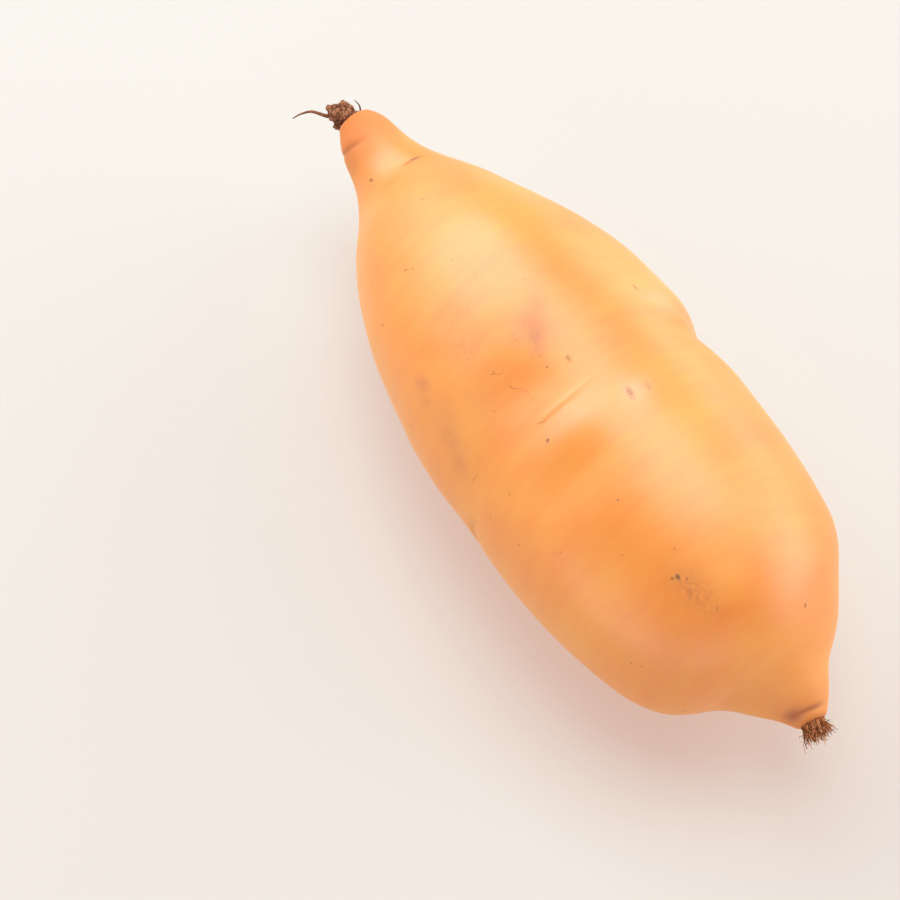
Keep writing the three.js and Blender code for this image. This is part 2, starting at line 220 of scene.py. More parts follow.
@dataclass(frozen=True)
class RootForm:
    """The root's own shape: oval sections on a bent spine, with swells, folds and lobes."""

    # place along, spine's offset across, spine's height, half width, half height, in mm
    stations: tuple[tuple[float, ...], ...] = (
        (-99, 0.4, 33.5, 3.1, 3.0),
        (-93, 1.0, 31.9, 6.7, 6.3),
        (-87, 1.6, 30.0, 8.6, 8.2),
        (-80, 2.1, 28.3, 11.8, 11.2),
        (-70, 2.2, 27.2, 18.1, 17.0),
        (-56, 1.2, 27.8, 24.4, 22.9),
        (-40, 0.5, 29.5, 29.8, 28.2),
        (-24, 0.6, 30.7, 33.2, 31.2),
        (-6, -0.2, 31.1, 34.3, 31.9),
        (14, -0.4, 31.0, 34.2, 31.8),
        (34, -0.4, 30.5, 33.4, 30.9),
        (50, 0.3, 28.9, 30.3, 28.3),
        (61, 1.6, 26.9, 24.9, 23.6),
        (68, 2.5, 25.3, 17.4, 16.8),
        (73, 2.7, 24.1, 11.4, 11.2),
        (78, 2.9, 22.9, 6.9, 6.8),
        (83, 2.4, 22.2, 3.0, 3.0),
    )
    swells: tuple[Swell, ...] = (
        Swell(4, 0, -0.6, 9, 720), Swell(0.5, -66, -1.2, 5, 30), Swell(-9, -62, 0.5, 6, 22),
        Swell(13, -66, 0.5, 6, 22), Swell(13, 19, 0.8, 5, 20), Swell(-2, 30, -1.0, 6.5, 17),
        Swell(21, 37, -0.9, 7, 15), Swell(37, 46, -0.5, 10, 14), Swell(73, 58, -0.6, 4.5, 22),
        Swell(-88, 75, -0.3, 4, 20), Swell(53, -70, 0.8, 10, 26), Swell(-97, -80, 1.3, 5, 45),
        Swell(-30, -72, -0.4, 14, 24), Swell(-35, -138, -0.9, 14, 20), Swell(48, -120, -0.8, 10, 20),
        Swell(-8, -115, 0.6, 12, 18), Swell(-58, 140, 0.6, 10, 20), Swell(-20, 128, -0.5, 11, 14),
        Swell(58, 150, -0.5, 8, 18),
    )
    folds: tuple[Fold, ...] = (
        Fold(33, -0.05, 0.9, ((6.3, -8), (7.0, 8), (7.6, 20), (8.0, 38))),
        Fold(33, 0.12, 0.6, ((4.6, -8), (5.7, 8), (6.3, 20), (6.3, 36))),
        Fold(33, 0.5, 2.0, ((-9, -29), (-5, -37), (-2, -47), (0, -62))),
        Fold(33, -0.4, 1.5, ((9, 78), (7.5, 92), (9.5, 112)), 0.3),
        Fold(33, -0.5, 1.6, ((2, -92), (4, -108), (3, -122)), 0.3),
        Fold(31, -0.35, 1.4, ((-31, -98), (-29, -112), (-31, -128)), 0.3),
        Fold(7, -0.3, 0.7, ((-93.4, 140), (-92.8, 100), (-92.4, 60), (-91.8, 32), (-91.2, 0)), 0.6),
        Fold(12, -0.2, 0.9, ((-79, 12), (-78.5, -4), (-78, -26)), 0.3),
        Fold(7, -0.3, 0.9, ((-92, -70), (-91, -118), (-92, -168)), 0.7),
        Fold(4.5, -0.4, 0.7, ((80.4, 110), (80.5, 65), (80.5, 28), (80.8, -14), (80.5, -80)), 1.0),
        Fold(6, -0.3, 0.9, ((78, -96), (77.5, -150), (78, -190)), 0.7),
    )
    lobes: tuple[Lobe, ...] = (Lobe(3, 0.35, 0.5, 100), Lobe(5, 0.18, -0.9, 100))
    # share of a fold's length over which it fades out at each end
    fold_taper: float = 0.4
    lobed_stretch: Pair = (-85, 72)
    lobe_fade: float = 25
    spine_step: float = 0.5

    @property
    def stem_end(self) -> float:
        """Place of the stem end along the root, in mm."""
        return self.stations[0][0]

    @property
    def tail_end(self) -> float:
        """Place of the tail end along the root, in mm."""
        return self.stations[-1][0]

    def column(self, index: int, along: Array) -> Array:
        """Reads one column of the stations through a natural cubic spline.

        Args:
            index: the column, 1 to 4.
            along: places along the root in mm.

        Returns:
            The column's values at those places, in mm.
        """
        table = np.array(self.stations, float)
        x, y = table[:, 0], table[:, index]
        gap = np.diff(x)
        matrix = np.eye(len(x))
        turn = np.zeros(len(x))
        for i in range(1, len(x) - 1):
            matrix[i, i - 1:i + 2] = gap[i - 1], 2 * (gap[i - 1] + gap[i]), gap[i]
            turn[i] = 6 * ((y[i + 1] - y[i]) / gap[i] - (y[i] - y[i - 1]) / gap[i - 1])
        bend = np.linalg.solve(matrix, turn)
        k = np.clip(np.searchsorted(x, along) - 1, 0, len(x) - 2)
        a = (x[k + 1] - along) / gap[k]
        b = 1 - a
        curved = ((a ** 3 - a) * bend[k] + (b ** 3 - b) * bend[k + 1]) * gap[k] ** 2 / 6
        return a * y[k] + b * y[k + 1] + curved

    def sections(self, along: Array) -> tuple[Array, Array, Array, Array]:
        """Gives the sections' centres and their own axes.

        Args:
            along: places along the root in mm.

        Returns:
            Centres, and the unit vectors ahead, to the side and up.
        """
        step = self.spine_step
        centre = np.stack([along, self.column(1, along), self.column(2, along)], -1)
        slope = [self.column(i, along + step) - self.column(i, along - step) for i in (1, 2)]
        ahead = np.stack([np.full_like(along, 2 * step), *slope], -1)
        ahead /= np.linalg.norm(ahead, axis=-1, keepdims=True)
        side = np.cross([0.0, 0.0, 1.0], ahead)
        side /= np.linalg.norm(side, axis=-1, keepdims=True)
        return centre, ahead, side, np.cross(ahead, side)

    def fold_nearness(self, fold: Fold, along: Array, around: Array) -> Array:
        """Tells how near a place is to a fold's line.

        Args:
            fold: the fold.
            along: places along the root in mm.
            around: degrees round it.

        Returns:
            1 on the middle of the line, falling to 0 over the fold's width and at its ends.
        """
        per_degree = math.radians(fold.radius)
        first = fold.points[0][1]
        y = turn_between(first, around) * per_degree
        line = [np.array((p[0], (p[1] - first) * per_degree)) for p in fold.points]
        nearest = np.full(np.shape(along), np.inf)
        nearest_at = np.zeros(np.shape(along))
        length = 0.0
        for start, end in zip(line, line[1:]):
            run = end - start
            share = ((along - start[0]) * run[0] + (y - start[1]) * run[1]) / (run @ run)
            share = np.clip(share, 0, 1)
            off = np.hypot(along - start[0] - share * run[0], y - start[1] - share * run[1])
            nearest_at = np.where(off < nearest, length + share * np.hypot(*run), nearest_at)
            nearest = np.minimum(nearest, off)
            length += np.hypot(*run)
        from_end = np.minimum(nearest_at, length - nearest_at) / (self.fold_taper * length)
        return smooth_step(from_end) * np.exp(-(nearest / fold.width) ** 2)

    def relief(self, along: Array, around: Array) -> Array:
        """Gives how far the skin stands out from the plain oval sections.

        Args:
            along: places along the root in mm.
            around: degrees round it.

        Returns:
            The rise in mm.
        """
        rise = np.zeros(np.shape(along))
        for swell in self.swells:
            far = (along - swell.along) / swell.reach
            turned = turn_between(swell.around, around) / swell.sweep
            rise += swell.rise * np.exp(-far ** 2 - turned ** 2)
        for fold in self.folds:
            rise += fold.rise * self.fold_nearness(fold, along, around)
        low, high = self.lobed_stretch
        fade = smooth_step(np.minimum(along - low, high - along) / self.lobe_fade)
        for lobe in self.lobes:
            turned = np.radians(lobe.count * (around - lobe.start + lobe.twist * along))
            rise += fade * lobe.rise * np.cos(turned)
        return rise

    def points(self, along: Array, around: Array) -> tuple[Array, Array]:
        """Gives points of the skin and the directions that point out of it.

        Args:
            along: places along the root in mm.
            around: degrees from the top towards -Y, of the same shape.

        Returns:
            Points in mm, pressed flat where the root rests, and unit vectors outwards.
        """
        centre, _, side, up = self.sections(along)
        wide, high = self.column(3, along), self.column(4, along)
        sine, cosine = np.sin(np.radians(around)), np.cos(np.radians(around))
        out = np.stack([sine / wide, cosine / high])
        out /= np.linalg.norm(out, axis=0)
        rise = self.relief(along, around)
        across = wide * sine + out[0] * rise
        upwards = high * cosine + out[1] * rise
        point = centre - across[..., None] * side + upwards[..., None] * up
        point[..., 2] = np.maximum(point[..., 2], 0)
        return point, -out[0][..., None] * side + out[1][..., None] * up


FORM = RootForm()


@dataclass(frozen=True)
class EndAxes:
    """An end of the root: its centre in mm, and unit vectors along the root, to its side and up."""

    centre: Array
    ahead: Array
    side: Array
    up: Array

    @classmethod
    def at(cls, along: float) -> "EndAxes":
        """Reads the centre and the directions at a place along the root."""
        return cls(*(axis[0] for axis in FORM.sections(np.array([float(along)]))))

    def outwards(self, angle: Array | float) -> Array:
        """Gives unit vectors away from the root's middle line, at angles from its top in radians."""
        turned = np.asarray(angle)[..., None]
        return np.cos(turned) * self.up - np.sin(turned) * self.side


class WeatheringAndPaintedLight(Enum):
    """What a skin patch holds: real marks, painted highlight, painted shade; the value is the
    attribute the finish reads.
    """

    BRUISE = "bruise"
    STAIN = "stain"
    SCURF = "scurf"
    # pale rims round pores, and painted highlight and painted reflection of light
    HALO = "halo"
    # painted shade in the folds
    CREASE = "crease"


BRUISE, STAIN, SCURF, HALO, CREASE = WeatheringAndPaintedLight


@dataclass(frozen=True)
class Patch:
    """A soft-edged patch of the skin, in mm and degrees, lengthened along its own turn."""

    kind: WeatheringAndPaintedLight
    along: float
    around: float
    length: float
    width: float
    turn: float
    strength: float


@dataclass(frozen=True)
class Mark:
    """A corky pore of the skin: length and width in mm, turn in degrees from the root's length."""

    along: float
    around: float
    length: float
    width: float
    turn: float
    depth: float


@dataclass(frozen=True)
class Tint:
    """A colour that the skin takes on where an attribute of its mesh is above 0."""

    attribute: str
    colour: str
    # how strongly it covers where the attribute is 1
    cover: float
    # the share of that cover which is left between the flecks of a broken patch
    between: float = 1.0
    # cork, scars, creases and the dry ends have lost the gloss of the skin round them
    dull: bool = True


@dataclass(frozen=True)
class Bumps:
    """Bumps of the surface: their size along each axis, their height, and how strongly they show."""

    size_mm: Triple
    height_mm: float
    strength: float


@dataclass(frozen=True)
class SkinFinish:
    """Periderm of a washed orange sweet potato: thin, moist below, satin above.

    The eye sees an even warm orange that lets a little light in, with a broad soft gloss.
    """

    name: str = "sweet_potato_periderm"
    slot: str = "skin"
    flesh_orange: str = "#e47f18"
    pale_orange: str = "#ea972b"
    # values of the mixed cloud and streak noise at which the skin is all one or all the other orange
    orange_range: Pair = (0.3, 0.7)
    tints: tuple[Tint, ...] = (
        Tint("end", "#cc6a14", 0.85),
        # pale rims round pores, and painted highlight on a bulge and painted rim reflection on the
        # right side
        Tint("halo", "#f5b088", 0.8, dull=False),
        Tint("bruise", "#aa6e58", 0.85, 0.85),
        Tint("stain", "#a65844", 0.8, 0.75),
        Tint("scurf", "#a8521c", 0.85, 0.1, dull=False),
        # painted shade in the folds, and the brown of the fine cracks
        Tint("crease", "#8a2e00", 0.72),
        Tint("mark", "#74360c", 0.9),
    )
    fleck_mm: float = 0.9
    fleck_range: Pair = (0.42, 0.58)
    roughness: Pair = (0.4, 0.52)
    dull_roughness: float = 0.95
    # constants of the Principled shader; red light travels furthest in the flesh
    surface: tuple[tuple[str, Any], ...] = (
        ("Sheen Weight", 0.32), ("Sheen Roughness", 0.4), ("Sheen Tint", linear("#ffd9ae")),
        ("IOR", 1.56), ("Specular IOR Level", 1.0), ("Subsurface Weight", 0.2),
        ("Subsurface Radius", (1.0, 0.42, 0.16)), ("Subsurface Scale", 2.5 * MM),
    )
    cloud_mm: float = 24.0
    # streaks run round the root: short along it and long across it
    streak_mm: Triple = (2.6, 14.0, 14.0)
    streak_share: float = 0.35
    # Real skin grain is about 0.1 mm; it is drawn at 0.5 mm so that it shows in the picture.
    grain: Bumps = Bumps((0.5, 0.5, 0.5), 0.012, 0.35)
    # faint ripples run round the root, as its growth leaves them
    ripples: Bumps = Bumps((1.2, 9.0, 9.0), 0.05, 0.5)

    def material(self) -> Material:
        """Builds the skin's material.

        Returns:
            The material, which reads the attributes of the skin and of its marks.
        """
        shader = Shader(self.name)
        streak = shader.pattern(self.streak_mm, detail=3.0)
        colour, dull = self.tinted(shader, self.orange(shader, streak))
        smoothest, roughest = self.roughness
        rough = shader.node("ShaderNodeMapRange", {"To Min": smoothest, "To Max": roughest},
                            {"Value": streak})
        dulled = shader.node("ShaderNodeMix", {"B": self.dull_roughness}, {"Factor": dull, "A": rough},
                             data_type="FLOAT")
        relief = self.relief(shader)
        return shader.finish(dict(self.surface), {"Base Color": colour, "Roughness": dulled,
                                                  "Normal": relief})

    def orange(self, shader: Shader, streak: Node) -> NodeSocket:
        """Mixes the two oranges of clean skin.

        Args:
            shader: the skin's shader.
            streak: the streak noise, which is mixed with soft clouds.

        Returns:
            The colour.
        """
        cloud = shader.pattern((self.cloud_mm,) * 3, detail=2.0)
        blend = shader.node("ShaderNodeMix", {"Factor": self.streak_share}, {"A": cloud, "B": streak},
                            data_type="FLOAT")
        least, most = self.orange_range
        spread = shader.node("ShaderNodeMapRange", {"From Min": least, "From Max": most},
                             {"Value": blend})
        oranges = {MIX_A: linear(self.flesh_orange), MIX_B: linear(self.pale_orange)}
        mixed = shader.node("ShaderNodeMix", oranges, {"Factor": spread}, data_type="RGBA")
        return mixed.outputs[MIX_RESULT]

    def tinted(self, shader: Shader, colour: NodeSocket) -> tuple[NodeSocket, Node]:
        """Lays the tints over the clean skin.

        Args:
            shader: the skin's shader.
            colour: the colour of the clean skin.

        Returns:
            The colour with the tints, and how dull they leave the skin, from 0 to 1.
        """
        flecks = shader.pattern((self.fleck_mm,) * 3, detail=4.0)
        bare, full = self.fleck_range
        dull = shader.node("ShaderNodeValue")
        for tint in self.tints:
            mask = shader.node("ShaderNodeAttribute", attribute_name=tint.attribute).outputs["Fac"]
            covers = {"To Min": tint.between * tint.cover, "To Max": tint.cover}
            broken = shader.node("ShaderNodeMapRange", {"From Min": bare, "From Max": full, **covers},
                                 {"Value": flecks})
            cover = shader.node("ShaderNodeMath", {}, {0: mask, 1: broken}, operation="MULTIPLY",
                                use_clamp=True)
            mixed = shader.node("ShaderNodeMix", {MIX_B: linear(tint.colour)},
                                {"Factor": cover, MIX_A: colour}, data_type="RGBA")
            colour = mixed.outputs[MIX_RESULT]
            if tint.dull:
                dull = shader.node("ShaderNodeMath", {}, {0: cover, 1: dull}, operation="MAXIMUM")
        return colour, dull

    def relief(self, shader: Shader) -> Node:
        """Raises the fine grain and the ripples.

        Args:
            shader: the skin's shader.

        Returns:
            The node that gives the bent normals.
        """
        links = {}
        for bumps in (self.grain, self.ripples):
            links["Height"] = shader.pattern(bumps.size_mm, detail=2.0)
            values = {"Strength": bumps.strength, "Distance": bumps.height_mm * MM}
            links["Normal"] = shader.node("ShaderNodeBump", values, links)
        return links["Normal"]


@dataclass(frozen=True)
class DryTissueFinish:
    """Dead plant tissue, dried in air: cork or root fibre. Matt, from dark brown to tan."""

    name: str
    slot: str
    dark: str
    middle: str
    light: str
    grain_mm: float
    bump_mm: float
    bump_strength: float = 0.8
    # places of the three browns on the ramp, and how the tone of a crumb or fibre shifts it
    stops: Triple = (0.3, 0.5, 0.72)
    tone_reach: float = 0.55
    tone_shift: float = -0.28
    roughness: float = 0.88
    specular: float = 0.25

    def material(self) -> Material:
        """Builds the material.

        Returns:
            The material; a `tone` attribute shifts it from dark to light.
        """
        shader = Shader(self.name)
        grain = shader.pattern((self.grain_mm,) * 3, detail=4.0)
        tone = shader.node("ShaderNodeAttribute", attribute_name="tone").outputs["Fac"]
        shift = shader.node("ShaderNodeMath", {1: self.tone_reach, 2: self.tone_shift}, {0: tone},
                            operation="MULTIPLY_ADD")
        mixed = shader.node("ShaderNodeMath", {}, {0: grain, 1: shift}, operation="ADD")
        ramp = shader.node("ShaderNodeValToRGB", {}, {0: mixed})
        browns = ramp.color_ramp.elements
        dark_at, middle_at, light_at = self.stops
        browns[0].position, browns[0].color = dark_at, linear(self.dark)
        browns[1].position, browns[1].color = light_at, linear(self.light)
        browns.new(middle_at).color = linear(self.middle)
        depth = {"Strength": self.bump_strength, "Distance": self.bump_mm * MM}
        bump = shader.node("ShaderNodeBump", depth, {"Height": grain})
        return shader.finish({"Roughness": self.roughness, "Specular IOR Level": self.specular},
                             {"Base Color": ramp, "Normal": bump})


SKIN = SkinFinish()
CORK = DryTissueFinish("dried_vine_cork", "cork", "#5f3622", "#855036", "#a97455", 0.5, 0.3)
FIBRE = DryTissueFinish("dried_root_fibre", "fibre", "#64351e", "#b46a3a", "#e0a272", 0.5, 0.05)


def rough_field(points: Array, layers: Iterable[Pair]) -> Array:
    """Sums layers of smooth noise at points.

    Args:
        points: an array of points in mm.
        layers: the size of one bump and its height, both in mm, for each layer.

    Returns:
        A height in mm for each point.
    """
    rise = np.zeros(points.shape[:-1])
    for size, height in layers:
        values = [noise.noise(Vector(p)) for p in (points / size).reshape(-1, 3).tolist()]
        rise += height * np.reshape(values, rise.shape)
    return rise


def mesh_object(name: str, points: Array, faces: Iterable[Sequence[int]] = (),
                edges: Iterable[Sequence[int]] = ()) -> Object:
    """Makes a mesh object from points in mm.

    Args:
        name: the piece's name.
        points: an array of points, in mm.
        faces: point numbers of each face.
        edges: point numbers of each loose edge.

    Returns:
        The object, linked to the scene.
    """
    mesh = bpy.data.meshes.new(name)
    mesh.from_pydata((np.reshape(points, (-1, 3)) * MM).tolist(), list(edges), list(faces))
    mesh.update()
    made = bpy.data.objects.new(name, mesh)
    bpy.context.scene.collection.objects.link(made)
    return made


def set_attribute(piece: Object, name: str, values: Array) -> None:
    """Stores one number or vector for each point of a mesh.

    Args:
        piece: the mesh object.
        name: the attribute's name.
        values: an array with a row or a number for each point.
    """
    vector = np.ndim(values) == 2
    layer = piece.data.attributes.new(name, "FLOAT_VECTOR" if vector else "FLOAT", "POINT")
    layer.data.foreach_set("vector" if vector else "value", np.asarray(values, np.float32).ravel())


def loft(name: str, rings: Array) -> Object:
    """Makes a closed surface through rings of points.

    Args:
        name: the piece's name.
        rings: an array of rings, points and coordinates in mm, turning as the skin's do.

    Returns:
        The object, with a fan on each end, shaded smooth.
    """
    count, around = rings.shape[:2]
    first = np.arange(count - 1)[:, None] * around + np.arange(around)
    after = np.arange(count - 1)[:, None] * around + (np.arange(around) + 1) % around
    faces = np.stack([first, after, after + around, first + around], -1).reshape(-1, 4).tolist()
    points = np.concatenate([rings.reshape(-1, 3), rings[0].mean(0)[None], rings[-1].mean(0)[None]])
    start, end, last = count * around, count * around + 1, (count - 1) * around
    for i in range(around):
        j = (i + 1) % around
        faces.append((start, j, i))
        faces.append((end, last + i, last + j))
    made = mesh_object(name, points, faces)
    made.data.shade_smooth()
    return made


class Recipe(Nodes):
    """A Geometry Nodes tree with named inputs that turns points or lines into a plain mesh."""

    def __init__(self, name: str, inputs: dict[str, str]) -> None:
        """Starts the tree.

        Args:
            name: the tree's name.
            inputs: socket type by input name, after the geometry and before the material.
        """
        super().__init__(bpy.data.node_groups.new(name, "GeometryNodeTree"))
        self.tree.interface.new_socket("Geometry", in_out="OUTPUT", socket_type="NodeSocketGeometry")
        for label, kind in {"Geometry": "Geometry", **inputs, "Material": "Material"}.items():
            self.tree.interface.new_socket(label, in_out="INPUT", socket_type=f"NodeSocket{kind}")
        self.given = self.tree.nodes.new("NodeGroupInput").outputs

    def finish(self, geometry: Node) -> "Recipe":
        """Ends the tree with real geometry, smooth, in the given material.

        Args:
            geometry: the node with the finished geometry.

        Returns:
            The recipe.
        """
        real = self.node("GeometryNodeRealizeInstances", links={"Geometry": geometry})
        smooth = self.node("GeometryNodeSetShadeSmooth", links={"Geometry": real})
        dressed = self.node("GeometryNodeSetMaterial",
                            links={"Geometry": smooth, "Material": self.given["Material"]})
        self.node("NodeGroupOutput", links={"Geometry": dressed})
        return self

    def apply(self, piece: Object, values: dict[str, Any]) -> Object:
        """Runs the tree on a piece and keeps the result as its plain mesh.

        Args:
            piece: the object with the points or lines.
            values: values by input name.

        Returns:
            The same object, with the finished mesh and no modifier.
        """
        modifier = piece.modifiers.new(self.tree.name, "NODES")
        modifier.node_group = self.tree
        for item in self.tree.interface.items_tree:
            if item.in_out == "INPUT" and item.name in values:
                modifier[item.identifier] = values[item.name]
        graph = bpy.context.evaluated_depsgraph_get()
        graph.update()
        made = bpy.data.meshes.new_from_object(piece.evaluated_get(graph), depsgraph=graph)
        piece.modifiers.remove(modifier)
        piece.data = made
        made.name = piece.name
        return piece


def pore_recipe() -> Recipe:
    """Builds the tree that sets a low corky dome on each point of the skin.

    Returns:
        The recipe, with inputs Segments and Rings.
    """
    # the dome is darkest up to the first distance from its middle, and bare from the second on
    dark_within, bare_from = 0.4, 0.85
    recipe = Recipe("corky_pores", {"Segments": "Int", "Rings": "Int"})
    given = recipe.given
    read = {
        name: recipe.node("GeometryNodeInputNamedAttribute", {"Name": name}, data_type=kind)
        for name, kind in (("outward", "FLOAT_VECTOR"), ("heading", "FLOAT_VECTOR"),
                           ("size", "FLOAT_VECTOR"), ("mark", "FLOAT"), ("depth", "FLOAT"))
    }
    dome = recipe.node("GeometryNodeMeshUVSphere", {"Radius": 1.0},
                       {"Segments": given["Segments"], "Rings": given["Rings"]})
    flat = recipe.node("ShaderNodeVectorMath", {1: (1.0, 1.0, 0.0)},
                       {0: recipe.node("GeometryNodeInputPosition")}, operation="MULTIPLY")
    off = recipe.node("ShaderNodeVectorMath", {}, {0: flat}, operation="LENGTH").outputs["Value"]
    core = recipe.node("ShaderNodeMapRange", {"From Min": bare_from, "From Max": dark_within},
                       {"Value": off}, interpolation_type="SMOOTHSTEP")
    shaded = recipe.node("GeometryNodeStoreNamedAttribute", {"Name": "mark"},
                         {"Geometry": dome, "Value": core})
    turned = recipe.node("FunctionNodeAxesToRotation", {},
                         {"Primary Axis": read["outward"], "Secondary Axis": read["heading"]},
                         primary_axis="Z", secondary_axis="X")
    placed = recipe.node("GeometryNodeInstanceOnPoints", {},
                         {"Points": given["Geometry"], "Instance": shaded, "Rotation": turned,
                          "Scale": read["size"]})
    real = recipe.node("GeometryNodeRealizeInstances", {}, {"Geometry": placed})
    depth = recipe.node("ShaderNodeMath", {}, {0: read["mark"], 1: read["depth"]},
                        operation="MULTIPLY")
    return recipe.finish(recipe.node("GeometryNodeStoreNamedAttribute", {"Name": "mark"},
                                     {"Geometry": real, "Value": depth}))


def strand_recipe() -> Recipe:
    """Builds the tree that turns lines with a `thickness` at each point into round strands.

    Returns:
        The recipe, with inputs Sides, Wave and Wave Size.
    """
    recipe = Recipe("tapered_strands", {"Sides": "Int", "Wave": "Float", "Wave Size": "Float"})
    given = recipe.given
    lines = recipe.node("GeometryNodeMeshToCurve", {}, {"Mesh": given["Geometry"]})
    pitch = recipe.node("ShaderNodeMath", {0: 1.0}, {1: given["Wave Size"]}, operation="DIVIDE")
    wave = recipe.node("ShaderNodeTexNoise", {"Detail": 1.0},
                       {"Vector": recipe.node("GeometryNodeInputPosition"), "Scale": pitch})
    centred = recipe.node("ShaderNodeVectorMath", {1: NOISE_MIDDLE}, {0: wave.outputs["Color"]},
                          operation="SUBTRACT")
    share = recipe.node("GeometryNodeSplineParameter").outputs["Factor"]
    reach = recipe.node("ShaderNodeMath", {}, {0: share, 1: given["Wave"]}, operation="MULTIPLY")
    offset = recipe.node("ShaderNodeVectorMath", {}, {0: centred, "Scale": reach}, operation="SCALE")
    waved = recipe.node("GeometryNodeSetPosition", {}, {"Geometry": lines, "Offset": offset})
    ring = recipe.node("GeometryNodeCurvePrimitiveCircle", {"Radius": 1.0},
                       {"Resolution": given["Sides"]})
    thickness = recipe.node("GeometryNodeInputNamedAttribute", {"Name": "thickness"},
                            data_type="FLOAT")
    return recipe.finish(recipe.node("GeometryNodeCurveToMesh", {"Fill Caps": True},
                                     {"Curve": waved, "Profile Curve": ring, "Scale": thickness}))


def crumb_recipe() -> Recipe:
    """Builds the tree that covers a surface with broken crumbs of cork.

    Returns:
        The recipe, with inputs Density, Smallest, Largest and Seed.
    """
    # the least share of its size that a crumb has along an axis
    flattest = 0.3
    # size of one dent in the crumbs, and how far it moves their surface
    dent, dent_reach = 0.55 * MM, 1.1 * MM
    recipe = Recipe("cork_crumbs",
                    {"Density": "Float", "Smallest": "Float", "Largest": "Float", "Seed": "Int"})
    given = recipe.given
    seed = {"Seed": given["Seed"]}
    spots = recipe.node("GeometryNodeDistributePointsOnFaces", {},
                        {"Mesh": given["Geometry"], "Density": given["Density"], **seed})
    crumb = recipe.node("GeometryNodeMeshIcoSphere", {"Radius": 1.0, "Subdivisions": 2})
    turn, shape = (
        recipe.node("FunctionNodeRandomValue", {0: (low,) * 3, 1: (high,) * 3}, seed,
                    data_type="FLOAT_VECTOR")
        for low, high in ((0.0, FULL_TURN), (flattest, 1.0))
    )
    size, tone = (
        recipe.node("FunctionNodeRandomValue", {}, {**ends, **seed}, data_type="FLOAT").outputs[1]
        for ends in ({2: given["Smallest"], 3: given["Largest"]}, {})
    )
    scale = recipe.node("ShaderNodeVectorMath", {}, {0: shape, "Scale": size}, operation="SCALE")
    toned = recipe.node("GeometryNodeStoreNamedAttribute", {"Name": "tone"},
                        {"Geometry": spots, "Value": tone})
    placed = recipe.node("GeometryNodeInstanceOnPoints", {},
                         {"Points": toned, "Instance": crumb, "Rotation": turn, "Scale": scale})
    real = recipe.node("GeometryNodeRealizeInstances", {}, {"Geometry": placed})
    rough = recipe.node("ShaderNodeTexNoise", {"Scale": 1 / dent, "Detail": 2.0},
                        {"Vector": recipe.node("GeometryNodeInputPosition")})
    centred = recipe.node("ShaderNodeVectorMath", {1: NOISE_MIDDLE}, {0: rough.outputs["Color"]},
                          operation="SUBTRACT")
    offset = recipe.node("ShaderNodeVectorMath", {"Scale": dent_reach}, {0: centred},
                         operation="SCALE")
    return recipe.finish(recipe.node("GeometryNodeSetPosition", {},
                                     {"Geometry": real, "Offset": offset}))


@dataclass(frozen=True)
class Strand:
    """A thin round strand: its points in mm, radius at the base and at the tip in mm, and shade."""

    line: Array | tuple[Triple, ...]
    base: float
    tip: float
    shade: float


@dataclass(frozen=True)
class StrandStyle:
    """How round a strand is, how far its tip waves and how long one wave is."""

    sides: int
    wave_mm: float
    wave_size_mm: float


def smooth_line(corners: Array, count: int) -> Array:
    """Draws a smooth line through a few points.

    Args:
        corners: the points that it passes.
        count: the number of points wanted.

    Returns:
        Points on the line, evenly spaced in its own parameter.
    """
    padded = np.vstack([2 * corners[0] - corners[1], corners, 2 * corners[-1] - corners[-2]])
    place = np.linspace(0, len(corners) - 1, count)
    first = np.minimum(place.astype(int), len(corners) - 2)
    t = (place - first)[:, None]
    a, b, c, d = (padded[first + i] for i in range(4))
    return 0.5 * (2 * b + (c - a) * t + (2 * a - 5 * b + 4 * c - d) * t ** 2
                  + (3 * b - a - 3 * c + d) * t ** 3)


def strand_object(name: str, strands: Sequence[Strand], style: StrandStyle, material: Material,
                  shade_name: str = "tone") -> Object:
    """Makes round strands that thin towards their tips.

    Args:
        name: the piece's name.
        strands: the strands.
        style: how round and how wavy they are.
        material: their material.
        shade_name: the attribute that their shade is stored in.

    Returns:
        The strands as one mesh.
    """
    edges, thickness, shades, first = [], [], [], 0
    for strand in strands:
        count = len(strand.line)
        edges += [(first + i, first + i + 1) for i in range(count - 1)]
        thinned = np.linspace(0, 1, count) ** THINNING
        thickness += ((strand.base + (strand.tip - strand.base) * thinned) * MM).tolist()
        shades += [strand.shade] * count
        first += count
    made = mesh_object(name, np.concatenate([strand.line for strand in strands]), edges=edges)
    set_attribute(made, "thickness", np.array(thickness))
    set_attribute(made, shade_name, np.array(shades))
    return strand_recipe().apply(made, {
        "Sides": style.sides, "Wave": style.wave_mm * MM, "Wave Size": style.wave_size_mm * MM,
        "Material": material,
    })


